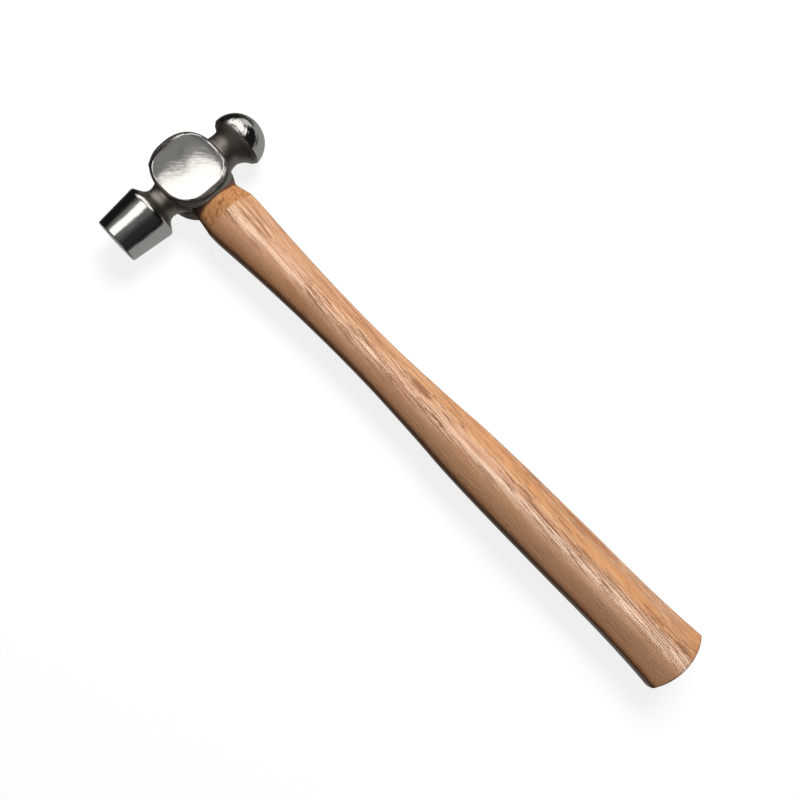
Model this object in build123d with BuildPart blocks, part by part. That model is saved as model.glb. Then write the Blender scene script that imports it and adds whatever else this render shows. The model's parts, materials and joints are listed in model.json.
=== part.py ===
from build123d import *
import os

os.makedirs("parts", exist_ok=True)

# Ball peen hammer lying on one cheek. Millimetres, +Z up.
# +X runs from the head to the butt, -Y is the striking face side, +Y the ball side.

# --- head, measured from the crossing of the head axis and the handle axis ---
face_y = 48.5          # striking face
face_r = 11.8
face_chamfer = 0.7
poll_y = 25.4          # back rim of the poll
poll_r = 13.9
rim_bevel = 0.5
poll_neck_y = 20.2     # thinnest place of the poll neck
poll_neck_r = 8.1
ball_neck_y = 20.8     # thinnest place of the ball neck
ball_neck_r = 8.7
flange_y = 26.5        # under side of the ball rim
flange_r = 12.6
ball_y = 28.2          # widest ring of the ball
ball_r = 13.7
ball_height = 13.4     # dome above the widest ring
dome_tip_r = 0.5       # small flat at the very tip
neck_foot_y = 16.0     # where the necks run into the eye block
neck_foot_r = 10.4

# --- eye block ---
cheek_half = 12.0      # centre plane to polished cheek
bevel_z = 10.4         # centre plane to the start of the cheek bevel
block_x = 19.0         # half length along the handle, at the middle of the side
block_y = 16.7         # half width across the handle, at the middle of the side
block_corner = 12.0
cheek_x = 15.1
cheek_y = 15.9
cheek_corner = 7.5
block_bow = 1.6        # how far each side bulges past its corners
cheek_bow = 2.0

# --- eye, oval, wider at both mouths than at the waist ---
eye_top_y = 11.8
eye_top_z = 7.2
eye_waist_y = 11.0
eye_waist_z = 6.6
eye_foot_y = 12.6
eye_foot_z = 8.2

# --- handle ---
shoulder_x = 27.4      # end of the cone cut next to the head
shoulder_w = 14.0      # half widths are along Y
shoulder_t = 10.9      # half thicknesses are along Z
butt_x = 322.0         # end of the butt
butt_sphere = 30.0
section_soft = 3.2     # rounding of the eight long edges
# stations after the shoulder: distance from the head axis, half width, half thickness
stations = [
    (42.0, 13.5, 10.6),
    (69.0, 12.0, 9.9),
    (96.0, 11.0, 9.3),
    (118.0, 10.7, 9.1),
    (140.0, 11.0, 9.3),
    (162.0, 11.9, 9.9),
    (184.0, 13.4, 10.8),
    (210.0, 14.2, 11.4),
    (245.0, 14.4, 11.6),
    (280.0, 14.4, 11.7),
    (306.0, 15.1, 11.9),
    (325.0, 16.5, 12.3),
]

# --- wedges ---
wood_wedge_top = 3.6   # thickness at the top of the eye
wood_wedge_tip = 0.8
wood_wedge_depth = 23.0
steel_wedge_top = 2.2
steel_wedge_tip = 0.4
steel_wedge_depth = 14.0
steel_wedge_half = 4.6
steel_wedge_y = 5.4

# --- place the whole hammer: bounding box centred on the origin, resting on Z = 0 ---
dome_r = (ball_r**2 + ball_height**2) / (2 * ball_height)
dome_centre_y = ball_y + ball_height - dome_r
dome_tip_y = dome_centre_y + (dome_r**2 - dome_tip_r**2) ** 0.5
total_x = block_x + butt_x
head_x = block_x - total_x / 2
head_y = (face_y - dome_tip_y) / 2
mid_z = poll_r
eye_top_x = -block_x
eye_foot_x = block_x + 0.05

mid_plane = Plane(origin=(head_x, head_y, mid_z), x_dir=(1, 0, 0), z_dir=(0, 0, 1))
turning_plane = Plane(origin=(head_x, head_y, mid_z), x_dir=(0.8, 0, 0.6), z_dir=(-0.6, 0, 0.8))
head_axis = Axis((head_x, head_y, mid_z), (0, 1, 0))
handle_axis = Axis((head_x, head_y, mid_z), (1, 0, 0))


def level(z):
    """Plane parallel to the bench, z above the middle of the hammer."""
    return Plane(origin=(head_x, head_y, mid_z + z), x_dir=(1, 0, 0), z_dir=(0, 0, 1))


def across(x):
    """Plane across the handle, x from the head axis; its x is Y and its y is Z."""
    return Plane(origin=(head_x + x, head_y, mid_z), x_dir=(0, 1, 0), z_dir=(1, 0, 0))


def bowed_square(plane, half_x, half_y, bow, corner):
    """Square outline with four bulging sides and rounded corners."""
    with BuildSketch(plane) as outline:
        with BuildLine():
            ThreePointArc((half_x - bow, -half_y + bow), (half_x, 0), (half_x - bow, half_y - bow))
            ThreePointArc((half_x - bow, half_y - bow), (0, half_y), (-half_x + bow, half_y - bow))
            ThreePointArc((-half_x + bow, half_y - bow), (-half_x, 0), (-half_x + bow, -half_y + bow))
            ThreePointArc((-half_x + bow, -half_y + bow), (0, -half_y), (half_x - bow, -half_y + bow))
        make_face()
        fillet(outline.vertices(), radius=corner)
    return outline.sketch


def oval(x, half_y, half_z):
    """Eye section across the handle."""
    with BuildSketch(across(x)) as ring:
        Ellipse(half_y, half_z)
    return ring.sketch


def grip_section(x, half_w, half_t, soft):
    """Eight sided section with rounded edges: broad sides, narrow edges, four slopes."""
    flat_w = half_w * 0.42
    flat_t = half_t * 0.50
    with BuildSketch(across(x)) as ring:
        with BuildLine():
            Polyline(
                (half_w, -flat_t),
                (half_w, flat_t),
                (flat_w, half_t),
                (-flat_w, half_t),
                (-half_w, flat_t),
                (-half_w, -flat_t),
                (-flat_w, -half_t),
                (flat_w, -half_t),
                close=True,
            )
        make_face()
        fillet(ring.vertices(), radius=soft)
    return ring.sketch


# --- form of the eye, used to open the head and to shape the tongue ---
eye_sections = [
    oval(eye_top_x, eye_top_y, eye_top_z),
    oval(0.0, eye_waist_y, eye_waist_z),
    oval(eye_foot_x, eye_foot_y, eye_foot_z),
]
with BuildPart() as eye_form:
    loft(sections=eye_sections)

# --- wooden wedge: a tapering slab across the eye, trimmed to the eye wall ---
with BuildPart() as wedge_blank:
    with BuildSketch(Plane(origin=(head_x, head_y, mid_z), x_dir=(1, 0, 0), z_dir=(0, -1, 0))):
        with BuildLine():
            Polyline(
                (eye_top_x, -wood_wedge_top / 2),
                (eye_top_x, wood_wedge_top / 2),
                (eye_top_x + wood_wedge_depth, wood_wedge_tip / 2),
                (eye_top_x + wood_wedge_depth, -wood_wedge_tip / 2),
                close=True,
            )
        make_face()
    extrude(amount=eye_top_y + 5, both=True)
    add(eye_form.part, mode=Mode.INTERSECT)


def steel_wedge(offset):
    """One tapering steel wedge driven across the wooden one."""
    with BuildPart() as piece:
        with BuildSketch(mid_plane):
            with BuildLine():
                Polyline(
                    (eye_top_x, offset - steel_wedge_top / 2),
                    (eye_top_x, offset + steel_wedge_top / 2),
                    (eye_top_x + steel_wedge_depth, offset + steel_wedge_tip / 2),
                    (eye_top_x + steel_wedge_depth, offset - steel_wedge_tip / 2),
                    close=True,
                )
            make_face()
        extrude(amount=steel_wedge_half, both=True)
    return piece


steel_wedge_front = steel_wedge(-steel_wedge_y)
steel_wedge_rear = steel_wedge(steel_wedge_y)

# the steel wedges split the wooden one where they are driven in
with BuildPart() as wooden_wedge:
    add(wedge_blank.part)
    add(steel_wedge_front.part, mode=Mode.SUBTRACT)
    add(steel_wedge_rear.part, mode=Mode.SUBTRACT)

# --- head: turned body through a block with bevelled polished cheeks, then the eye ---
block_sections = [
    bowed_square(level(-cheek_half), cheek_x, cheek_y, cheek_bow, cheek_corner),
    bowed_square(level(-bevel_z), block_x, block_y, block_bow, block_corner),
    bowed_square(level(bevel_z), block_x, block_y, block_bow, block_corner),
    bowed_square(level(cheek_half), cheek_x, cheek_y, cheek_bow, cheek_corner),
]
with BuildPart() as hammer_head:
    with BuildSketch(turning_plane):
        with BuildLine():
            Polyline(
                (dome_tip_r, dome_tip_y),
                (0, dome_tip_y),
                (0, -face_y),
                (face_r - face_chamfer, -face_y),
                (face_r, -face_y + face_chamfer),
                (poll_r, -poll_y - rim_bevel),
                (poll_r - rim_bevel, -poll_y),
                (poll_neck_r + 2.2, -poll_neck_y - 3.3),
            )
            ThreePointArc(
                (poll_neck_r + 2.2, -poll_neck_y - 3.3),
                (poll_neck_r, -poll_neck_y),
                (neck_foot_r, -neck_foot_y),
            )
            Line((neck_foot_r, -neck_foot_y), (neck_foot_r, neck_foot_y))
            ThreePointArc(
                (neck_foot_r, neck_foot_y),
                (ball_neck_r, ball_neck_y),
                (flange_r - 1.0, flange_y - 0.6),
            )
            Polyline(
                (flange_r - 1.0, flange_y - 0.6),
                (flange_r, flange_y),
                (ball_r, ball_y),
            )
            ThreePointArc(
                (ball_r, ball_y),
                (dome_r * 0.7071, dome_centre_y + dome_r * 0.7071),
                (dome_tip_r, dome_tip_y),
            )
        make_face()
    revolve(axis=head_axis)
    loft(sections=block_sections, ruled=True)
    add(eye_form.part, mode=Mode.SUBTRACT)

# --- handle: tongue in the eye, cone cut shoulder, shaped grip, domed butt ---
body_sections = [grip_section(shoulder_x, shoulder_w, shoulder_t, section_soft)]
for x, half_w, half_t in stations:
    body_sections.append(grip_section(x, half_w, half_t, section_soft))
cone_sections = [
    oval(eye_foot_x, eye_foot_y, eye_foot_z),
    oval(shoulder_x, shoulder_w - 0.1, shoulder_t - 0.1),
]
with BuildPart() as handle:
    loft(sections=body_sections)
    with BuildSketch(mid_plane):
        with BuildLine():
            Polyline(
                (butt_x - butt_sphere, butt_sphere),
                (shoulder_x, butt_sphere),
                (shoulder_x, 0),
                (butt_x, 0),
            )
            ThreePointArc(
                (butt_x, 0),
                (butt_x - butt_sphere + butt_sphere * 0.7071, butt_sphere * 0.7071),
                (butt_x - butt_sphere, butt_sphere),
            )
        make_face()
    revolve(axis=handle_axis, mode=Mode.INTERSECT)
    loft(sections=cone_sections)
    add(eye_form.part)
    add(wedge_blank.part, mode=Mode.SUBTRACT)
    add(steel_wedge_front.part, mode=Mode.SUBTRACT)
    add(steel_wedge_rear.part, mode=Mode.SUBTRACT)

hammer_head.part.label = "hammer_head"
handle.part.label = "handle"
wooden_wedge.part.label = "wooden_wedge"
steel_wedge_front.part.label = "steel_wedge_front"
steel_wedge_rear.part.label = "steel_wedge_rear"

export_step(hammer_head.part, "parts/hammer_head.step")
export_step(handle.part, "parts/handle.step")
export_step(wooden_wedge.part, "parts/wooden_wedge.step")
export_step(steel_wedge_front.part, "parts/steel_wedge_front.step")
export_step(steel_wedge_rear.part, "parts/steel_wedge_rear.step")
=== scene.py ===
import json
import math

import bmesh
import bpy
from bpy.props import FloatProperty, FloatVectorProperty, PointerProperty
from mathutils import Euler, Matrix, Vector


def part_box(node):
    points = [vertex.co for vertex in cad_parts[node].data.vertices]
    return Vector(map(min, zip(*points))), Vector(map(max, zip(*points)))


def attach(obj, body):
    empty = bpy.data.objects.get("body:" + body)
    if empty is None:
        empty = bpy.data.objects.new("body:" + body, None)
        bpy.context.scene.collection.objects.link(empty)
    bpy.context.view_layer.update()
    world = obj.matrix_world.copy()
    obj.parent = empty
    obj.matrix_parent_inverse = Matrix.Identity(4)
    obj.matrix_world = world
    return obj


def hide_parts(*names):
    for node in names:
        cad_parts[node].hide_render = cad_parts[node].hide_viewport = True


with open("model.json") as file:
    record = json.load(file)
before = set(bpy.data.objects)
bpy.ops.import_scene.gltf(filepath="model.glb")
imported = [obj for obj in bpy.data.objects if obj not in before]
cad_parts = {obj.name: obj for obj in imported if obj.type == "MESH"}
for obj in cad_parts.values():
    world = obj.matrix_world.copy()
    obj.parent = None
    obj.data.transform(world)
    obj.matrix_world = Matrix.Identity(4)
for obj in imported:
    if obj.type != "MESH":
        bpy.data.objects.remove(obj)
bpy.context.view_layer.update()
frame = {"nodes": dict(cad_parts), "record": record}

bl_info = {
    "name": "Ball peen hammer",
    "version": (1, 0, 0),
    "blender": (4, 5, 0),
    "location": "3D View > Sidebar > Hammer",
    "description": "Makes a ball peen hammer with a wedged hickory handle",
    "category": "Add Mesh",
}

MM = 0.001

# Places along the head's axis, in millimetres from the handle's axis; the poll is on the minus side.
FACE = -48.5            # striking face
POLL_RIM = -25.4        # sharp back rim of the poll
POLL_NECK = -20.0       # thinnest place between the poll and the block
BALL_NECK = 20.6        # thinnest place between the block and the ball
BALL_RING = 28.0        # widest ring of the ball
BALL_SHIFT = 0.9        # how far the ball stands towards the handle

# Squareness of the block's outline: 2 is an ellipse, more is squarer.
SIDE_FULLNESS = 2.3
CHEEK_FULLNESS = 2.88

# Half width and half thickness of the eye, in millimetres, and how far its mouths are from its waist.
EYE_WAIST = (11.0, 6.6)
EYE_TOP = (11.8, 7.2)
EYE_FOOT = (12.6, 8.2)
EYE_MOUTH = 19.0
TONGUE_FOOT = 19.1      # where the tongue ends and the cone cut starts, along the handle

# The head's materials, in the order of their slots.
FORGED, TURNED, CHEEK = range(3)

# The crossing of the head axis and the handle axis, taken from the frame.
head_low, head_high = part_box("hammer_head")
face_at = next(m for m in frame["record"]["mounts"] if m["name"] == "striking_face")["pos_m"]
CENTRE = Vector((face_at[0], head_low.y - FACE * MM, face_at[2]))


def along(start, end, amount):
    """Value part of the way from start to end."""
    return start + (end - start) * amount


def eased(amount):
    """Smooth step between 0 and 1."""
    amount = min(max(amount, 0.0), 1.0)
    return amount * amount * (3.0 - 2.0 * amount)


def curve_through(knots, x):
    """Smooth value at x through a list of (x, value) knots."""
    if x <= knots[0][0]:
        return knots[0][1]
    if x >= knots[-1][0]:
        return knots[-1][1]
    i = next(k for k in range(len(knots) - 1) if x <= knots[k + 1][0])
    (x1, y1), (x2, y2) = knots[i], knots[i + 1]
    x0, y0 = knots[max(i - 1, 0)]
    x3, y3 = knots[min(i + 2, len(knots) - 1)]
    slope1 = (y2 - y0) / (x2 - x0)
    slope2 = (y3 - y1) / (x3 - x1)
    span = x2 - x1
    t = (x - x1) / span
    return (
        (2 * t**3 - 3 * t**2 + 1) * y1
        + (t**3 - 2 * t**2 + t) * span * slope1
        + (3 * t**2 - 2 * t**3) * y2
        + (t**3 - t**2) * span * slope2
    )


def rounded_square(angle, half_a, half_b, fullness):
    """Point of a squared-off ellipse; fullness 2 is an ellipse, more is squarer."""
    c, s = math.cos(angle), math.sin(angle)
    return (
        half_a * math.copysign(abs(c) ** (2.0 / fullness), c),
        half_b * math.copysign(abs(s) ** (2.0 / fullness), s),
    )


# ---------------------------------------------------------------- sizes and colours


def length_setting(name, description, millimetres):
    """A size that a user may change, shown in the scene's units."""
    return FloatProperty(name=name, description=description, default=millimetres * MM, unit="LENGTH")


def colour_setting(name, description, default):
    """A colour that a user may change, with a picker."""
    return FloatVectorProperty(
        name=name, description=description, default=default, subtype="COLOR", min=0, max=1
    )


class HeadSizes(bpy.types.PropertyGroup):
    """Sizes of the steel head, from the crossing of its axis with the handle's."""

    face_radius: length_setting("Face radius", "Radius of the striking face", 11.8)
    poll_radius: length_setting("Poll radius", "Radius at the back of the poll", 13.85)
    ball_radius: length_setting("Ball radius", "Radius of the widest ring of the ball", 13.65)
    ball_lean: FloatProperty(name="Ball lean", description="Slope of the ball's rim", default=0.11)
    block_length: length_setting("Block half length", "Half length of the eye block along the handle", 18.95)
    block_width: length_setting("Block half width", "Half width of the eye block along the head", 17.2)
    block_flat: length_setting("Block foot", "Head axis to the flat foot of the eye", 18.3)
    cheek_height: length_setting("Cheek height", "Middle of the head to a cheek", 12.0)
    cheek_length: length_setting("Cheek half length", "Half length of a cheek along the handle", 14.8)
    cheek_width: length_setting("Cheek half width", "Half width of a cheek along the head", 15.45)
    cheek_crown: length_setting("Cheek crown", "Fall of a cheek 15 mm from its middle", 0.5)


class HandleSizes(bpy.types.PropertyGroup):
    """Sizes of the wooden handle."""

    shoulder: length_setting("Shoulder", "Head axis to the end of the cone cut", 27.4)
    butt: length_setting("Butt", "Head axis to the end of the butt", 321.9)
    butt_dome: length_setting("Butt dome", "Radius of the domed butt end", 30.0)


class Finishes(bpy.types.PropertyGroup):
    """Colours of the steel and the wood."""

    bright_steel: colour_setting("Bright steel", "Polished steel", (0.66, 0.65, 0.63))
    forged_steel: colour_setting("Forged steel", "Tumbled steel of the necks and block", (0.38, 0.35, 0.31))
    pale_wood: colour_setting("Pale wood", "Light hickory between the pores", (0.69, 0.395, 0.235))
    warm_wood: colour_setting("Warm wood", "Darker, redder hickory", (0.57, 0.275, 0.135))
    cut_wood: colour_setting("Cut wood", "Bare wood of the cone cut", (0.40, 0.165, 0.055))
    pore: colour_setting("Pores", "Open pores of the hickory", (0.25, 0.095, 0.040))


# ---------------------------------------------------------------- shader helpers


class Wire:
    """An output in a node tree; Python's operators on a number add Math nodes."""

    def __init__(self, recipe, socket):
        self.recipe = recipe
        self.socket = socket

    def __add__(self, other):
        return self.recipe.maths("ADD", self, other)

    def __radd__(self, other):
        return self.recipe.maths("ADD", other, self)

    def __sub__(self, other):
        return self.recipe.maths("SUBTRACT", self, other)

    def __rsub__(self, other):
        return self.recipe.maths("SUBTRACT", other, self)

    def __mul__(self, other):
        return self.recipe.maths("MULTIPLY", self, other)

    def __rmul__(self, other):
        return self.recipe.maths("MULTIPLY", other, self)

    def __truediv__(self, other):
        return self.recipe.maths("DIVIDE", self, other)

    def __rtruediv__(self, other):
        return self.recipe.maths("DIVIDE", other, self)

    def __pow__(self, other):
        return self.recipe.maths("POWER", self, other)

    def __rpow__(self, other):
        return self.recipe.maths("POWER", other, self)

    def clipped(self):
        """The number, held between 0 and 1."""
        return self.recipe.maths("ADD", self, 0.0, use_clamp=True)

    def ramp(self, low, high):
        """0 at low, 1 at high and beyond, smooth between; low may be the larger."""
        return self.recipe.node(
            "ShaderNodeMapRange",
            {"interpolation_type": "SMOOTHSTEP"},
            {"Value": self, "From Min": low, "From Max": high, "To Min": 0.0, "To Max": 1.0},
        )


class Recipe:
    """The node tree of one finish."""

    def __init__(self, owner):
        owner.use_nodes = True
        self.owner = owner
        self.tree = owner.node_tree
        self.tree.nodes.clear()

    def node(self, kind, settings=None, values=None, output=None):
        """Adds a node, its settings first, then its sockets' values or links; gives one output."""
        made = self.tree.nodes.new(kind)
        for key, value in (settings or {}).items():
            setattr(made, key, value)
        for key, value in (values or {}).items():
            socket = made.inputs[key]
            if isinstance(value, Wire):
                self.tree.links.new(value.socket, socket)
            else:
                socket.default_value = value
        if output:
            return Wire(self, made.outputs[output])
        usable = [socket for socket in made.outputs if socket.enabled]
        return Wire(self, usable[0] if usable else None)

    def maths(self, operation, *values, **settings):
        """A Math node on numbers and wires."""
        return self.node("ShaderNodeMath", {"operation": operation, **settings}, dict(enumerate(values)))

    def place(self):
        """Position on the piece, measured from the middle of the eye, in metres."""
        spot = self.node("ShaderNodeTexCoord", output="Object")
        return self.node("ShaderNodeVectorMath", {"operation": "SUBTRACT"}, {0: spot, 1: tuple(CENTRE)})

    def parts(self, spot):
        """The x, y and z of a position."""
        return [self.node("ShaderNodeSeparateXYZ", None, {0: spot}, axis) for axis in "XYZ"]

    def noise(self, spot, scale, detail, roughness, distortion=0.0):
        """Even noise; scale is how many waves fit in a metre."""
        waves = {"Scale": scale, "Detail": detail, "Roughness": roughness, "Distortion": distortion}
        return self.node("ShaderNodeTexNoise", {"noise_dimensions": "3D"}, {"Vector": spot, **waves}, "Fac")

    def streaks(self, spot, scales, detail, roughness, distortion=0.0, turn=0.0):
        """Noise with its own scale along each axis, the axes first turned about Z."""
        if turn:
            turned = {"Vector": spot, "Rotation": (0.0, 0.0, turn)}
            spot = self.node("ShaderNodeMapping", {"vector_type": "POINT"}, turned)
        spot = self.node("ShaderNodeVectorMath", {"operation": "MULTIPLY"}, {0: spot, 1: scales})
        return self.noise(spot, 1.0, detail, roughness, distortion)

    def blend(self, amount, first, second):
        """Mixes two colours, each a wire or red, green and blue."""
        first, second = [c if isinstance(c, Wire) else (*c, 1.0) for c in (first, second)]
        settings = {"data_type": "RGBA", "blend_type": "MIX", "clamp_factor": True}
        return self.node("ShaderNodeMix", settings, {0: amount, 6: first, 7: second})

    def bump(self, height, distance, strength, under=None):
        """Normal bent by a height; under is a normal that it adds to."""
        values = {"Height": height, "Distance": distance, "Strength": strength}
        if under is not None:
            values["Normal"] = under
        return self.node("ShaderNodeBump", None, values)

    def finish(self, **values):
        """Principled shader to the output; names are its sockets with _ for a space."""
        sockets = {}
        for key, value in values.items():
            sockets[key.replace("_", " ")] = (*value, 1.0) if isinstance(value, tuple) else value
        shader = self.node("ShaderNodeBsdfPrincipled", None, sockets)
        self.node("ShaderNodeOutputMaterial", None, {"Surface": shader})
        return self.owner


# ---------------------------------------------------------------- finishes


WORN_STEEL = (0.50, 0.48, 0.45)


def turned_steel():
    """Steel turned and polished on the lathe: poll, striking face, ball and the cheeks' bevels."""
    colours = bpy.context.scene.hammer_finishes
    recipe = Recipe(bpy.data.materials.new("turned_steel"))
    spot = recipe.place()
    _, y, _ = recipe.parts(spot)
    lines = recipe.streaks(spot, (1500.0, 90.0, 1500.0), 4.0, 0.6)
    broad = recipe.streaks(spot, (150.0, 70.0, 150.0), 2.0, 0.5)
    ground = recipe.streaks(spot, (330.0, 60.0, 330.0), 3.0, 0.5, turn=math.radians(-40.0))
    worn = recipe.noise(spot, 260.0, 4.0, 0.65)
    on_ball = y.ramp(26.0 * MM, 30.0 * MM)
    normal = recipe.bump(broad + ground * on_ball * 1.6, 1.0 * MM, 0.25)
    # the poll's wall turns in a little over its last 6 mm
    rolled = ((y + 31.5 * MM) / (6.0 * MM)).clipped()
    normal = recipe.bump(rolled * rolled * (-0.8 * MM), 1.0, 1.0, normal)
    normal = recipe.bump(lines, 0.07 * MM, 0.6, normal)
    return recipe.finish(
        Base_Color=recipe.blend((worn - 0.35) * 0.5, tuple(colours.bright_steel), WORN_STEEL),
        Metallic=1.0,
        Roughness=lines * 0.08 + worn * 0.06 + 0.07,
        Normal=normal,
    )


def cheek_steel():
    """Cheeks ground by hand on a belt: a little wavy, with slanting lines."""
    colours = bpy.context.scene.hammer_finishes
    recipe = Recipe(bpy.data.materials.new("cheek_steel"))
    spot = recipe.place()
    lines = recipe.streaks(spot, (90.0, 1200.0, 90.0), 4.0, 0.65, turn=math.radians(-42.0))
    broad = recipe.noise(spot, 110.0, 2.0, 0.5)
    worn = recipe.noise(spot, 260.0, 4.0, 0.65)
    normal = recipe.bump(broad, 0.09 * MM, 1.0)
    normal = recipe.bump(lines, 0.04 * MM, 0.45, normal)
    return recipe.finish(
        Base_Color=recipe.blend((worn - 0.35) * 0.4, tuple(colours.bright_steel), WORN_STEEL),
        Metallic=1.0,
        Roughness=lines * 0.10 + worn * 0.05 + 0.045,
        Normal=normal,
    )


def forged_steel():
    """Tumbled forged skin of the necks and the block's sides."""
    colours = bpy.context.scene.hammer_finishes
    recipe = Recipe(bpy.data.materials.new("forged_steel"))
    spot = recipe.place()
    skin = recipe.noise(spot, 420.0, 5.0, 0.62)
    dents = recipe.noise(spot, 130.0, 3.0, 0.5)
    patches = recipe.noise(spot, 60.0, 3.0, 0.55)
    base = recipe.blend(patches.ramp(0.35, 0.7), tuple(colours.forged_steel), (0.31, 0.28, 0.245))
    base = recipe.blend(skin.ramp(0.52, 0.75) * 0.45, base, (0.44, 0.41, 0.37))
    normal = recipe.bump(dents, 0.8 * MM, 0.30)
    normal = recipe.bump(skin, 0.22 * MM, 0.45, normal)
    return recipe.finish(
        Base_Color=base,
        Metallic=1.0,
        Roughness=patches * 0.12 + skin * 0.12 + 0.34,
        Normal=normal,
    )


def hickory():
    """Varnished hickory with streaks and pores; bare where the cone is cut, end grain on the butt."""
    colours = bpy.context.scene.hammer_finishes
    handle = bpy.context.scene.hammer_handle_sizes
    pale_wood, warm_wood = tuple(colours.pale_wood), tuple(colours.warm_wood)
    recipe = Recipe(bpy.data.materials.new("hickory"))
    spot = recipe.place()
    x, y, z = recipe.parts(spot)

    # long grain: broad bands, streaks, fibres and pores, most a little out of line with the handle
    slant = math.radians(3.5)
    drift = recipe.streaks(spot, (9.0, 40.0, 40.0), 2.0, 0.5)
    band = recipe.streaks(spot, (6.0, 160.0, 160.0), 3.0, 0.55, 0.4, slant)
    streak = recipe.streaks(spot, (30.0, 900.0, 420.0), 4.0, 0.6, 0.3, slant)
    fibre = recipe.streaks(spot, (90.0, 2600.0, 1000.0), 3.0, 0.6, 0.0, slant)
    pores = recipe.streaks(spot, (75.0, 1900.0, 760.0), 2.0, 0.5, 0.4, slant * 1.4)
    cluster = recipe.streaks(spot, (22.0, 140.0, 140.0), 3.0, 0.5, 0.0, slant)
    mottle = recipe.streaks(spot, (260.0, 700.0, 700.0), 3.0, 0.6, 0.0, slant)

    # the grain is coarse on the broad side and fine near the edges; across the middle of the top face, where
    # the varnish catches the light, its pale streaks are partly painted highlight
    broad_side = y.ramp(-5.5 * MM, -1.5 * MM)
    middle = broad_side * y.ramp(9.5 * MM, 4.5 * MM)
    grain_and_sheen = broad_side * 0.35 + middle * 0.45 + 0.20
    pore = pores.ramp(0.53, 0.61) * cluster.ramp(0.36, 0.52) * grain_and_sheen
    base = recipe.blend(band.ramp(0.36, 0.66), pale_wood, warm_wood)
    # pale streaks: partly the wood's grain, partly painted highlight on the top face
    base = recipe.blend(streak.ramp(0.46, 0.64) * grain_and_sheen * 0.9, base, (0.84, 0.58, 0.38))
    base = recipe.blend(streak.ramp(0.48, 0.34) * grain_and_sheen * 0.7, base, (0.36, 0.145, 0.062))
    base = recipe.blend(mottle.ramp(0.35, 0.7) * 0.22, base, (0.42, 0.18, 0.07))
    base = recipe.blend((fibre - 0.3) * 0.35, base, warm_wood)
    towards_butt = x.ramp(150.0 * MM, 250.0 * MM) * 0.4 + 0.4
    ruddy = drift.ramp(0.44, 0.60) * y.ramp(1.0 * MM, 8.0 * MM) * towards_butt
    base = recipe.blend(ruddy, base, (0.74, 0.34, 0.13))
    # painted shade: the lower (-Y) side of the handle is darkened where shade falls, fading out towards the
    # head
    painted_shade = y.ramp(-1.0 * MM, -10.0 * MM) * x.ramp(-50.0 * MM, 60.0 * MM) * 0.45
    base = recipe.blend(painted_shade, base, (0.46, 0.19, 0.075))
    base = recipe.blend(pore * 0.8, base, tuple(colours.pore))

    # bare wood of the cone cut: rasp marks across it, with painted shade where it meets the steel
    edge = recipe.noise(spot, 240.0, 2.0, 0.5) - 0.5
    cut_end = handle.shoulder + 1.5 * MM
    bare = (x + edge * (2.2 * MM)).ramp(cut_end + 0.2 * MM, cut_end - 0.2 * MM)
    rasp = recipe.streaks(spot, (260.0, 1100.0, 1100.0), 4.0, 0.65, turn=math.radians(48.0))
    cut = recipe.blend(rasp.ramp(0.40, 0.62), (0.56, 0.27, 0.11), tuple(colours.cut_wood))
    cut = recipe.blend(rasp.ramp(0.54, 0.70) * 0.75, cut, (0.11, 0.030, 0.010))
    # painted shade: near-black in the gap where the wood meets the steel
    painted_gap_shade = (x + edge * (1.5 * MM)).ramp(20.2 * MM, 18.6 * MM)
    cut = recipe.blend(painted_gap_shade * 0.85, cut, (0.06, 0.018, 0.007))
    base = recipe.blend(bare, base, cut)

    # end grain on the dome of the butt
    from_centre = ((x - (handle.butt - handle.butt_dome)) ** 2.0 + y ** 2.0 + z ** 2.0) ** 0.5
    end_grain = from_centre.ramp(handle.butt_dome - 0.7 * MM, handle.butt_dome - 0.2 * MM)
    end_grain = end_grain * x.ramp(300.0 * MM, 305.0 * MM)
    rings = recipe.streaks(spot, (900.0, 900.0, 250.0), 4.0, 0.6)
    end_colour = recipe.blend(rings.ramp(0.4, 0.65), (0.40, 0.19, 0.08), (0.20, 0.08, 0.03))
    base = recipe.blend(end_grain * 0.85, base, end_colour)

    # relief: long waves left by the sanding, then the grain, or the rasp marks where the wood is bare
    waves = recipe.streaks(spot, (22.0, 60.0, 60.0), 2.0, 0.5)
    grain = fibre * 0.2 + streak * 0.5 * grain_and_sheen - pore * 1.1
    normal = recipe.bump(waves, 1.0 * MM, 0.20)
    normal = recipe.bump(grain * (1 - bare) + rasp * bare * 1.6, 0.30 * MM, 0.7, normal)
    return recipe.finish(
        Base_Color=base,
        Roughness=bare * 0.35 + pore * 0.2 + streak * 0.14 + 0.34,
        Normal=normal,
        Coat_Weight=(1 - bare) * (1 - pore) * 0.22,
        Coat_Roughness=0.25,
        Specular_IOR_Level=0.28,
    )


def bare_wedge_wood():
    """End grain of the hardwood wedge."""
    recipe = Recipe(bpy.data.materials.new("wedge_wood"))
    dots = recipe.streaks(recipe.place(), (300.0, 1500.0, 1500.0), 3.0, 0.6)
    return recipe.finish(
        Base_Color=recipe.blend(dots.ramp(0.40, 0.65), (0.46, 0.27, 0.13), (0.24, 0.12, 0.05)),
        Roughness=dots * 0.2 + 0.6,
        Normal=recipe.bump(dots, 0.2 * MM, 0.5),
    )


def wedge_steel():
    """Plain mild steel, marked by the hammer that drove it."""
    recipe = Recipe(bpy.data.materials.new("wedge_steel"))
    marks = recipe.noise(recipe.place(), 900.0, 4.0, 0.6)
    return recipe.finish(
        Base_Color=recipe.blend(marks.ramp(0.4, 0.7), (0.40, 0.38, 0.36), (0.22, 0.20, 0.18)),
        Metallic=1.0,
        Roughness=marks * 0.25 + 0.3,
        Normal=recipe.bump(marks, 0.2 * MM, 0.4),
    )


# ---------------------------------------------------------------- mesh helpers


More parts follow.
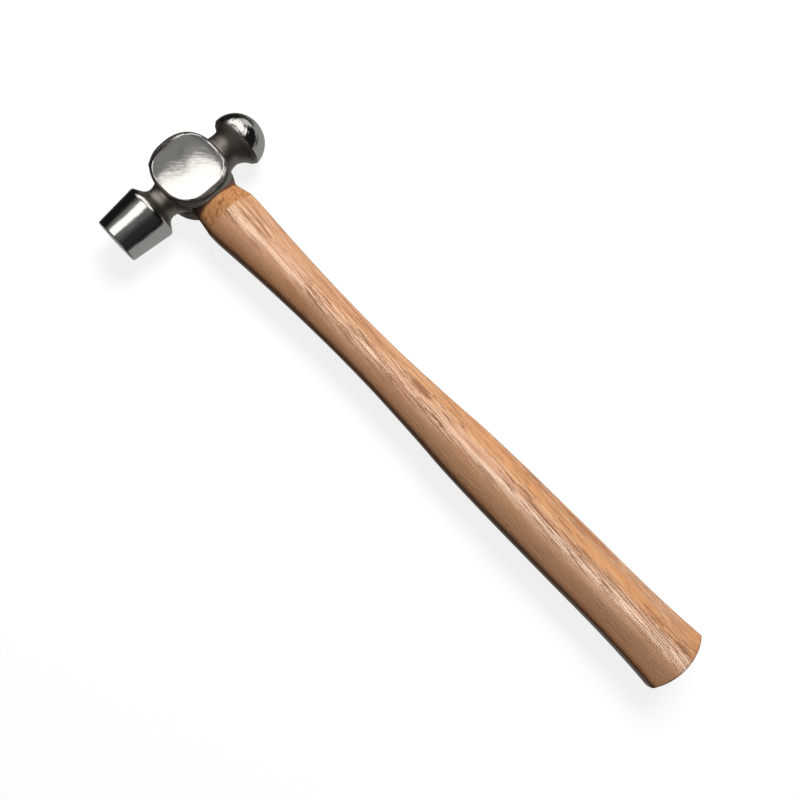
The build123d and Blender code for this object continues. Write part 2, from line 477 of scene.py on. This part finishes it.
def object_from(bm, name):
    """Turns a finished bmesh into an object with its place in its mesh."""
    bmesh.ops.remove_doubles(bm, verts=bm.verts, dist=1e-7)
    bmesh.ops.recalc_face_normals(bm, faces=bm.faces)
    mesh = bpy.data.meshes.new(name)
    bm.to_mesh(mesh)
    bm.free()
    made = bpy.data.objects.new(name, mesh)
    bpy.context.scene.collection.objects.link(made)
    return made


def joined(first, second, operation):
    """First combined with second by a Boolean, made solid; second is removed."""
    cutter = first.modifiers.new("combine", "BOOLEAN")
    cutter.operation = operation
    cutter.solver = "EXACT"
    cutter.object = second
    shape = first.evaluated_get(bpy.context.evaluated_depsgraph_get())
    mesh = bpy.data.meshes.new_from_object(shape)
    first.modifiers.clear()
    old = first.data
    first.data = mesh
    bpy.data.meshes.remove(old)
    bpy.data.objects.remove(second)
    if not mesh.polygons:
        raise RuntimeError("combining the head's shapes left nothing")
    return first


def ring_grown(bm, ring, shape):
    """Extrudes a closed ring of edges and puts each new vertex where shape says."""
    grown = bmesh.ops.extrude_edge_only(bm, edges=ring)
    verts = [g for g in grown["geom"] if isinstance(g, bmesh.types.BMVert)]
    edges = [g for g in grown["geom"] if isinstance(g, bmesh.types.BMEdge)]
    for vert in verts:
        vert.co = shape(vert)
    return edges


def tube_of_rings(bm, count, shapes):
    """Closed tube: a circle grown through a list of shapes, capped at both ends."""
    bmesh.ops.create_circle(bm, cap_ends=False, radius=1.0, segments=count)
    bm.verts.ensure_lookup_table()
    turn = bm.verts.layers.float.new("turn")
    for vert in bm.verts:
        vert[turn] = math.atan2(vert.co.y, vert.co.x)
        vert.co = shapes[0](vert[turn])
    ring = list(bm.edges)
    bmesh.ops.contextual_create(bm, geom=ring)
    for shape in shapes[1:]:
        ring = ring_grown(bm, ring, lambda vert: shape(vert[turn]))
    bmesh.ops.contextual_create(bm, geom=ring)


def arc_points(start, middle, end, count):
    """Points on the circle through three points, from start to end."""
    ax, ay = start
    bx, by = middle
    cx, cy = end
    d = 2 * (ax * (by - cy) + bx * (cy - ay) + cx * (ay - by))
    ux = ((ax**2 + ay**2) * (by - cy) + (bx**2 + by**2) * (cy - ay) + (cx**2 + cy**2) * (ay - by)) / d
    uy = ((ax**2 + ay**2) * (cx - bx) + (bx**2 + by**2) * (ax - cx) + (cx**2 + cy**2) * (bx - ax)) / d
    radius = math.hypot(ax - ux, ay - uy)
    first, mid, last = [math.atan2(y - uy, x - ux) for x, y in (start, middle, end)]
    turn = (last - first) % math.tau
    if (mid - first) % math.tau > turn:
        turn -= math.tau
    angles = [first + turn * k / count for k in range(count + 1)]
    return [(ux + radius * math.cos(angle), uy + radius * math.sin(angle)) for angle in angles]


def arc_on(outline, middle, end, count):
    """Carries an outline on from its last point with an arc through middle to end."""
    outline += arc_points(outline[-1], middle, end, count)[1:]


# ---------------------------------------------------------------- the steel head


def block_side(x, head):
    """How far the block's side stands out at a distance x along the handle."""
    share = min(abs(x) / head.block_length, 0.999)
    return head.block_width * (1 - share**SIDE_FULLNESS) ** (1 / SIDE_FULLNESS)


def neck_foot(thin, rise, neck_y, run, count=12):
    """Hollow from a neck's thinnest place to the block, a quarter of an ellipse, given in millimetres."""
    turns = [math.pi / 2 * k / count for k in range(count + 1)]
    return [((thin + rise * (1 - math.cos(a))) * MM, (neck_y + run * math.sin(a)) * MM) for a in turns]


def poll_outline(head):
    """Radius and place of the striking face, the poll and its neck, up to the block."""
    face, poll = head.face_radius, head.poll_radius
    outline = [(0.0, FACE * MM), (face - 0.7 * MM, FACE * MM)]
    arc_on(outline, (face - 0.22 * MM, (FACE + 0.2) * MM), (face, (FACE + 0.7) * MM), 4)
    # the wall widens from the face's edge, turns in a little and stops at a sharp rim
    shoulder = poll - 0.22 * MM
    outline += [(along(face, shoulder, k / 6), along(FACE + 0.7, -28.6, k / 6) * MM) for k in range(1, 7)]
    arc_on(outline, (poll - 0.02 * MM, -27.0 * MM), (poll - 0.12 * MM, -26.0 * MM), 6)
    outline += [(poll - 0.3 * MM, (POLL_RIM - 0.2) * MM), (poll - 0.7 * MM, POLL_RIM * MM)]
    outline += [(10.45 * MM, -23.55 * MM)]
    arc_on(outline, (8.75 * MM, -21.95 * MM), (8.1 * MM, POLL_NECK * MM), 8)
    return outline + neck_foot(8.1, 5.1, POLL_NECK, 4.6)[1:]


def ball_outline(head, tip, count=28):
    """Radius and place of the ball's neck, its rim and the dome up to the tip."""
    ball = head.ball_radius
    outline = neck_foot(8.75, 4.65, BALL_NECK, -5.2)[::-1]
    arc_on(outline, (9.6 * MM, 23.7 * MM), (11.7 * MM, 25.9 * MM), 8)
    outline += [(12.6 * MM, 26.45 * MM), (ball - 0.25 * MM, (BALL_RING - 0.3) * MM)]
    dome_foot = (BALL_RING + 0.4) * MM
    arc_on(outline, (ball, BALL_RING * MM), (ball, dome_foot), 3)
    reach = tip - dome_foot
    dome = (ball**2 + reach**2) / (2 * reach)
    sweep = math.asin(min(1.0, ball / dome))
    angles = [sweep * (1 - k / count) for k in range(1, count + 1)]
    return outline + [(dome * math.sin(a), tip - dome + dome * math.cos(a)) for a in angles]


def turned_body(head):
    """Poll, necks and ball, turned round the head axis."""
    barrel = [(13.2 * MM, -12.0 * MM), (13.4 * MM, 12.0 * MM)]
    outline = poll_outline(head) + barrel + ball_outline(head, head_high.y - CENTRE.y)
    bm = bmesh.new()
    verts = [bm.verts.new((radius, place, 0.0)) for radius, place in outline]
    edges = [bm.edges.new(pair) for pair in zip(verts, verts[1:])]
    bmesh.ops.spin(
        bm, geom=verts + edges, cent=(0, 0, 0), axis=(0, 1, 0), dvec=(0, 0, 0),
        angle=math.tau, steps=128, use_merge=True, use_duplicate=False,
    )
    for vert in bm.verts:
        # over 5 mm each neck comes to follow the block's bulging side, and grows thinner
        depth = eased((BALL_NECK * MM - abs(vert.co.y)) / (5.0 * MM))
        if depth > 0:
            sunk = head.block_width - block_side(vert.co.x, head)
            vert.co.y -= math.copysign(sunk * depth, vert.co.y)
            vert.co.z *= 1 - 0.20 * depth
        # the ball was ground a touch off square, so its rim leans
        lean = eased((vert.co.y - BALL_NECK * MM) / (6.0 * MM))
        tilt = head.ball_lean * lean
        x, y = vert.co.x, vert.co.y
        vert.co.y = y + tilt * x
        vert.co.x = x + BALL_SHIFT * MM * lean - tilt * (y - BALL_RING * MM)
    bmesh.ops.translate(bm, verts=bm.verts, vec=CENTRE)
    return object_from(bm, "hammer_head_steel")


def eye_block(head):
    """Block round the eye, its sides bulging, its two cheeks ground nearly flat."""
    # each ring's height, its spread from the cheek's outline to the side's, and its share of the outline
    top = 12.0
    cheek = [(top, 0.0, share) for share in (0.02, 0.2, 0.4, 0.6, 0.75, 0.85, 0.91, 0.95, 0.975, 1.0)]
    bevel = [(11.33, 0.12, 1.0), (10.95, 0.38, 1.0), (10.45, 0.68, 1.0), (9.7, 0.88, 1.0), (8.0, 0.97, 1.0)]
    above = cheek + bevel + [(4.0, 1.0, 1.0)]
    below = [(-height, spread, share) for height, spread, share in reversed(above)]

    def outline(level, spread, share):
        half_x = along(head.cheek_length, head.block_length, spread)
        half_y = along(head.cheek_width, head.block_width, spread)
        fullness = along(CHEEK_FULLNESS, SIDE_FULLNESS, spread)

        def place(angle):
            # the block's foot is fuller on the ball's side, and the cheek lies a little towards the foot
            uneven = 0.7 * spread * math.sin(angle) * max(math.cos(angle), 0.0)
            x, y = rounded_square(angle, half_x * share, half_y * share, fullness + uneven)
            fall = 0.0
            if spread == 0.0:
                rolled_edge = 0.09 * MM * share**16
                fall = head.cheek_crown * (x * x + y * y) / (15 * MM) ** 2 + rolled_edge
            x = min(x + 0.4 * MM * (1 - spread), head.block_flat)
            z = level * MM * head.cheek_height / (top * MM)
            return CENTRE + Vector((x, y, z - math.copysign(fall, level)))

        return place

    bm = bmesh.new()
    tube_of_rings(bm, 192, [outline(*level) for level in below + above[::-1]])
    return object_from(bm, "eye_block")


def eye_section(x):
    """Half width and half thickness of the eye at x along the handle."""
    mouth = EYE_TOP if x < 0 else EYE_FOOT
    share = min(abs(x) / (EYE_MOUTH * MM), 1.05) ** 2
    return [along(narrow, wide, share) * MM for narrow, wide in zip(EYE_WAIST, mouth)]


def eye_ring(x, slack=0.0):
    """Oval of the eye at x, less some slack, as a function of the angle round it."""
    half_y, half_z = [half - slack for half in eye_section(x)]

    def place(angle):
        return CENTRE + Vector((x, half_y * math.cos(angle), half_z * math.sin(angle)))

    return place


def eye_hole():
    """Oval hole through the block, wider at both mouths and longer than the block."""
    steps = (-24, -19.1, -14, -9, -4, 0, 4, 9, 14, 19.1, 24)
    bm = bmesh.new()
    tube_of_rings(bm, 96, [eye_ring(step * MM) for step in steps])
    return object_from(bm, "eye_hole")


def head_finish(face, head):
    """Which of the head's materials a face gets."""
    spot = face.center - CENTRE
    if spot.y < (POLL_RIM - 0.1) * MM or spot.y - head.ball_lean * spot.x > (BALL_RING - 0.9) * MM:
        return TURNED
    if abs(face.normal.z) > 0.965 and abs(spot.z) > 11.3 * MM and math.hypot(spot.x, spot.z) < 22 * MM:
        return CHEEK
    on_bevel = abs(spot.z) > 10.7 * MM and abs(spot.y) < 18 * MM
    return TURNED if on_bevel else FORGED


class HAMMER_OT_head(bpy.types.Operator):
    """Make the steel head: poll, ball and necks, the eye block and the eye"""

    bl_idname = "hammer.make_head"
    bl_label = "Steel head"

    def execute(self, context):
        head = context.scene.hammer_head_sizes
        made = joined(turned_body(head), eye_block(head), "UNION")
        made = joined(made, eye_hole(), "DIFFERENCE")
        made.name = "steel_head"
        mesh = made.data
        mesh.name = "steel_head"
        mesh.materials.clear()
        for material in (forged_steel(), turned_steel(), cheek_steel()):
            mesh.materials.append(material)
        for face in mesh.polygons:
            face.material_index = head_finish(face, head)
        mesh.shade_smooth()
        mesh.set_sharp_from_angle(angle=math.radians(26))
        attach(made, "root")
        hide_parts("hammer_head")
        return {"FINISHED"}


# ---------------------------------------------------------------- the handle

# distance from the head axis, then half width or half thickness, in millimetres
WIDTHS = [
    (27.4, 14.05), (33.0, 14.1), (50.0, 12.95), (69.0, 11.9), (92.0, 11.05), (115.0, 10.7), (137.0, 10.95),
    (156.0, 11.75), (170.0, 12.45), (184.0, 13.4), (202.0, 14.05), (225.0, 14.4), (252.0, 14.5),
    (282.0, 14.4), (305.0, 15.1), (325.0, 16.5),
]
THICKNESSES = [
    (27.4, 10.85), (36.0, 10.8), (69.0, 9.85), (96.0, 9.25), (118.0, 9.05), (140.0, 9.25), (162.0, 9.85),
    (184.0, 10.75), (210.0, 11.3), (245.0, 11.5), (280.0, 11.6), (304.0, 11.8), (325.0, 12.2),
]


def eight_sided(angle, edge):
    """Unit section with two broad sides, two narrow ones and four slopes; edge sets how crisp it is."""
    c, s = abs(math.cos(angle)), abs(math.sin(angle))
    lean_y, lean_z = 0.50 / 0.84, 0.68 / 0.84
    slope = lean_y * c + lean_z * s
    reach = (c**edge + s**edge + slope**edge) ** (-1.0 / edge)
    half_y = (1 + lean_y**edge) ** (1.0 / edge)
    half_z = (1 + lean_z**edge) ** (1.0 / edge)
    return reach * half_y * math.cos(angle), reach * half_z * math.sin(angle)


def handle_ring(x, handle):
    """Section of the handle at x, as a function of the angle round it."""
    tongue_foot = TONGUE_FOOT * MM
    if x <= tongue_foot:
        return eye_ring(x, slack=0.02 * MM)
    half_y = curve_through(WIDTHS, x / MM) * MM
    half_z = curve_through(THICKNESSES, x / MM) * MM
    mouth_y, mouth_z = eye_section(EYE_MOUTH * MM)
    # the long edges grow crisper over the last 85 mm of the grip
    edge = along(10.0, 19.0, eased((x - 225 * MM) / (85 * MM)))

    def place(angle):
        u, v = eight_sided(angle, edge)
        if x < handle.shoulder:
            share = (x - tongue_foot) / (handle.shoulder - tongue_foot)
            u = along(math.cos(angle) * mouth_y / half_y, u, share)
            v = along(math.sin(angle) * mouth_z / half_z, v, share)
        return CENTRE + Vector((x, half_y * u, half_z * v))

    return place


def dome_ring(share, handle):
    """Ring of the butt's dome, a share of the last section's size."""
    last_section = handle_ring(handle.butt - 4.7 * MM, handle)
    crown = handle.butt - handle.butt_dome
    rolled_edge = 0.9 * MM if share == 1.0 else 0.0

    def place(angle):
        rim = last_section(angle) - CENTRE
        off = Vector((0.0, rim.y, rim.z)) * share
        rise = math.sqrt(handle.butt_dome**2 - off.length**2) - rolled_edge
        return CENTRE + Vector((crown + rise, off.y, off.z))

    return place


class HAMMER_OT_handle(bpy.types.Operator):
    """Make the hickory handle: tongue, cone cut shoulder, waist, grip and domed butt"""

    bl_idname = "hammer.make_handle"
    bl_label = "Hickory handle"

    def execute(self, context):
        handle = context.scene.hammer_handle_sizes
        tongue = [-18.85, -14.0, -9.0, -4.0, 0.0, 4.0, 9.0, 14.0, TONGUE_FOOT]
        cone = [20.2, 22.0, 24.5, 27.0]
        steps = [step * MM for step in tongue + cone]
        steps += [handle.shoulder, handle.shoulder + 0.5 * MM]
        start, end, count = handle.shoulder + 3 * MM, handle.butt - 7.0 * MM, 96
        steps += [along(start, end, k / count) for k in range(count + 1)]
        shapes = [handle_ring(x, handle) for x in steps]
        dome = (1.0, 0.993, 0.975, 0.94, 0.86, 0.72, 0.55, 0.36, 0.18, 0.05)
        shapes += [dome_ring(share, handle) for share in dome]
        bm = bmesh.new()
        tube_of_rings(bm, 160, shapes)
        made = object_from(bm, "hickory_handle")
        made.data.materials.append(hickory())
        made.data.shade_smooth()
        made.data.set_sharp_from_angle(angle=math.radians(24))
        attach(made, "root")
        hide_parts("handle")
        made.visible_glossy = False
        varnished = bpy.data.collections.get("handle_only")
        if varnished:
            varnished.objects.link(made)
        return {"FINISHED"}


class HAMMER_OT_wedges(bpy.types.Operator):
    """Give the wooden wedge and the two steel wedges their finishes"""

    bl_idname = "hammer.finish_wedges"
    bl_label = "Wedges"

    def execute(self, context):
        wood, steel = bare_wedge_wood(), wedge_steel()
        finishes = {"wooden_wedge": wood, "steel_wedge_front": steel, "steel_wedge_rear": steel}
        for node, material in finishes.items():
            for slot in frame["nodes"][node].material_slots:
                slot.material = material
        return {"FINISHED"}


# ---------------------------------------------------------------- floor, light and camera


def studio_sky():
    """Soft grey surroundings, with the light and dark bands that bright steel mirrors."""
    world = bpy.data.worlds.new("studio")
    bpy.context.scene.world = world
    recipe = Recipe(world)
    x, y, z = recipe.parts(recipe.node("ShaderNodeTexCoord", output="Generated"))
    # degrees round the head's axis, from the handle's side up over the hammer
    turn = recipe.maths("ARCTAN2", z, x) * (180.0 / math.pi)
    below = turn.ramp(-3.0, -9.0) * turn.ramp(-160.0, -112.0) * y.ramp(-0.55, -0.25)
    # a soft box overhead ends in a wavy edge, with a grey wall past it and a faint spill before it
    edge = turn + y.ramp(0.035, 0.150) * 2.9 - y.ramp(0.152, 0.192) * 2.3 + y.ramp(0.196, 0.250) * 3.4
    edge = edge + y.ramp(0.245, 0.290) * 4.5
    box = turn.ramp(84.0, 92.0) * edge.ramp(122.0, 120.6)
    wall = edge.ramp(121.0, 122.2) * turn.ramp(150.0, 130.0) * (edge.ramp(122.8, 126.0) * 0.22 + 0.035)
    before_box = turn.ramp(96.0, 90.0)
    spill = turn.ramp(-5.0, 30.0) * before_box * 0.02 + turn.ramp(40.0, 78.0) * before_box * 0.13
    box_length = y.ramp(-0.45, -0.32) * y.ramp(0.315, 0.275)
    # towards the ball: a dim gap, a second box and a bright patch beyond it
    gap = turn.ramp(72.0, 84.0) * turn.ramp(150.0, 130.0) * y.ramp(0.27, 0.31) * y.ramp(0.48, 0.41) * 0.13
    second_edge = y - turn.ramp(142.0, 132.0) * 0.21
    second_box = turn.ramp(62.0, 76.0) * turn.ramp(166.0, 150.0)
    second_box = second_box * second_edge.ramp(0.17, 0.26) * y.ramp(0.84, 0.76)
    beyond = y.ramp(0.80, 0.86) * turn.ramp(100.0, 125.0)
    # a low band past the striking face keeps the other sides from going black
    behind = y.ramp(-0.52, -0.72) * z.ramp(-0.05, 0.10) * z.ramp(0.75, 0.50)
    mirrored = (box * 1.7 + wall + spill) * box_length + gap + second_box * 1.5
    mirrored = mirrored + below * 0.36 + beyond * 0.8 + behind * 0.20 + 0.012
    rgb = {"Red": mirrored, "Green": mirrored * 0.985, "Blue": mirrored * 0.955}
    warm = recipe.node("ShaderNodeCombineColor", None, rgb)
    bands = recipe.node("ShaderNodeBackground", None, {"Color": warm, "Strength": 1.0})
    around = recipe.node("ShaderNodeBackground", None, {"Color": (1.0, 0.95, 0.90, 1.0), "Strength": 0.08})
    backdrop = recipe.node("ShaderNodeBackground", None, {"Color": (0.88, 0.88, 0.87, 1.0), "Strength": 1.0})
    glossy = recipe.node("ShaderNodeLightPath", output="Is Glossy Ray")
    seen = recipe.node("ShaderNodeLightPath", output="Is Camera Ray")
    shown = recipe.node("ShaderNodeMixShader", None, {0: glossy, 1: around, 2: bands})
    shown = recipe.node("ShaderNodeMixShader", None, {0: seen, 1: shown, 2: backdrop})
    recipe.node("ShaderNodeOutputWorld", None, {"Surface": shown})


def pale_floor():
    """Floor that glows a little, so that the shadows on it stay faint."""
    recipe = Recipe(bpy.data.materials.new("pale_floor"))
    return recipe.finish(
        Base_Color=(0.19, 0.19, 0.19),
        Roughness=0.9,
        Specular_IOR_Level=0.0,
        Emission_Color=(1.0, 1.0, 1.0),
        Emission_Strength=0.85,
    )


def soft_lamp(name, spot, aim, size, power):
    """Rectangular lamp at a spot, facing aim, kept out of mirrored light."""
    lamp = bpy.data.lights.new(name, "AREA")
    lamp.shape = "RECTANGLE"
    lamp.size, lamp.size_y = size
    lamp.energy = power
    made = bpy.data.objects.new(name, lamp)
    made.location = spot
    made.rotation_euler = (Vector(aim) - Vector(spot)).to_track_quat("-Z", "Y").to_euler()
    made.visible_glossy = False
    bpy.context.scene.collection.objects.link(made)
    return made


class HAMMER_OT_stage(bpy.types.Operator):
    """Lay the pale floor, hang the lights and set the camera"""

    bl_idname = "hammer.make_stage"
    bl_label = "Stage"

    def execute(self, context):
        bm = bmesh.new()
        bmesh.ops.create_grid(bm, x_segments=1, y_segments=1, size=4.0)
        floor = object_from(bm, "floor")
        floor.data.materials.append(pale_floor())
        floor.visible_glossy = False
        floor.visible_diffuse = False

        soft_lamp("key", (-0.30, 0.60, 0.95), (0.0, 0.0, 0.0), (0.7, 0.5), 15.6)
        # the strip only puts a long highlight on the handle's varnish
        strip = soft_lamp("varnish_strip", (0.05, 0.10, 0.62), (0.05, 0.0, 0.0), (1.1, 0.14), 8.0)
        strip.visible_glossy = True
        strip.visible_diffuse = False
        strip.light_linking.receiver_collection = bpy.data.collections.new("handle_only")
        studio_sky()

        lens = bpy.data.cameras.new("view")
        lens.sensor_width = 36.0
        lens.lens = 36.94
        lens.clip_start = 0.01
        camera = bpy.data.objects.new("view", lens)
        camera.location = CENTRE + Vector((196.5, -65.7, 373.4)) * MM
        camera.rotation_euler = Euler([math.radians(a) for a in (11.51, -1.64, 45.64)])
        context.scene.collection.objects.link(camera)
        context.scene.camera = camera
        context.scene.view_settings.view_transform = "Standard"
        context.scene.view_settings.look = "None"
        return {"FINISHED"}


class HAMMER_PT_panel(bpy.types.Panel):
    """Lists the pieces of the hammer"""

    bl_idname = "HAMMER_PT_panel"
    bl_label = "Ball peen hammer"
    bl_space_type = "VIEW_3D"
    bl_region_type = "UI"
    bl_category = "Hammer"

    def draw(self, context):
        for operator in OPERATORS:
            self.layout.operator(operator.bl_idname)
        scene = context.scene
        for group in (scene.hammer_head_sizes, scene.hammer_handle_sizes, scene.hammer_finishes):
            for name in group.__annotations__:
                self.layout.prop(group, name)


OPERATORS = (HAMMER_OT_stage, HAMMER_OT_head, HAMMER_OT_handle, HAMMER_OT_wedges)
CLASSES = (HeadSizes, HandleSizes, Finishes) + OPERATORS + (HAMMER_PT_panel,)


def register():
    for item in CLASSES:
        bpy.utils.register_class(item)
    bpy.types.Scene.hammer_head_sizes = PointerProperty(type=HeadSizes)
    bpy.types.Scene.hammer_handle_sizes = PointerProperty(type=HandleSizes)
    bpy.types.Scene.hammer_finishes = PointerProperty(type=Finishes)


def unregister():
    del bpy.types.Scene.hammer_finishes
    del bpy.types.Scene.hammer_handle_sizes
    del bpy.types.Scene.hammer_head_sizes
    for item in reversed(CLASSES):
        bpy.utils.unregister_class(item)


def main():
    register()
    bpy.ops.hammer.make_stage()
    bpy.ops.hammer.make_head()
    bpy.ops.hammer.make_handle()
    bpy.ops.hammer.finish_wedges()


if __name__ == "__main__":
    main()
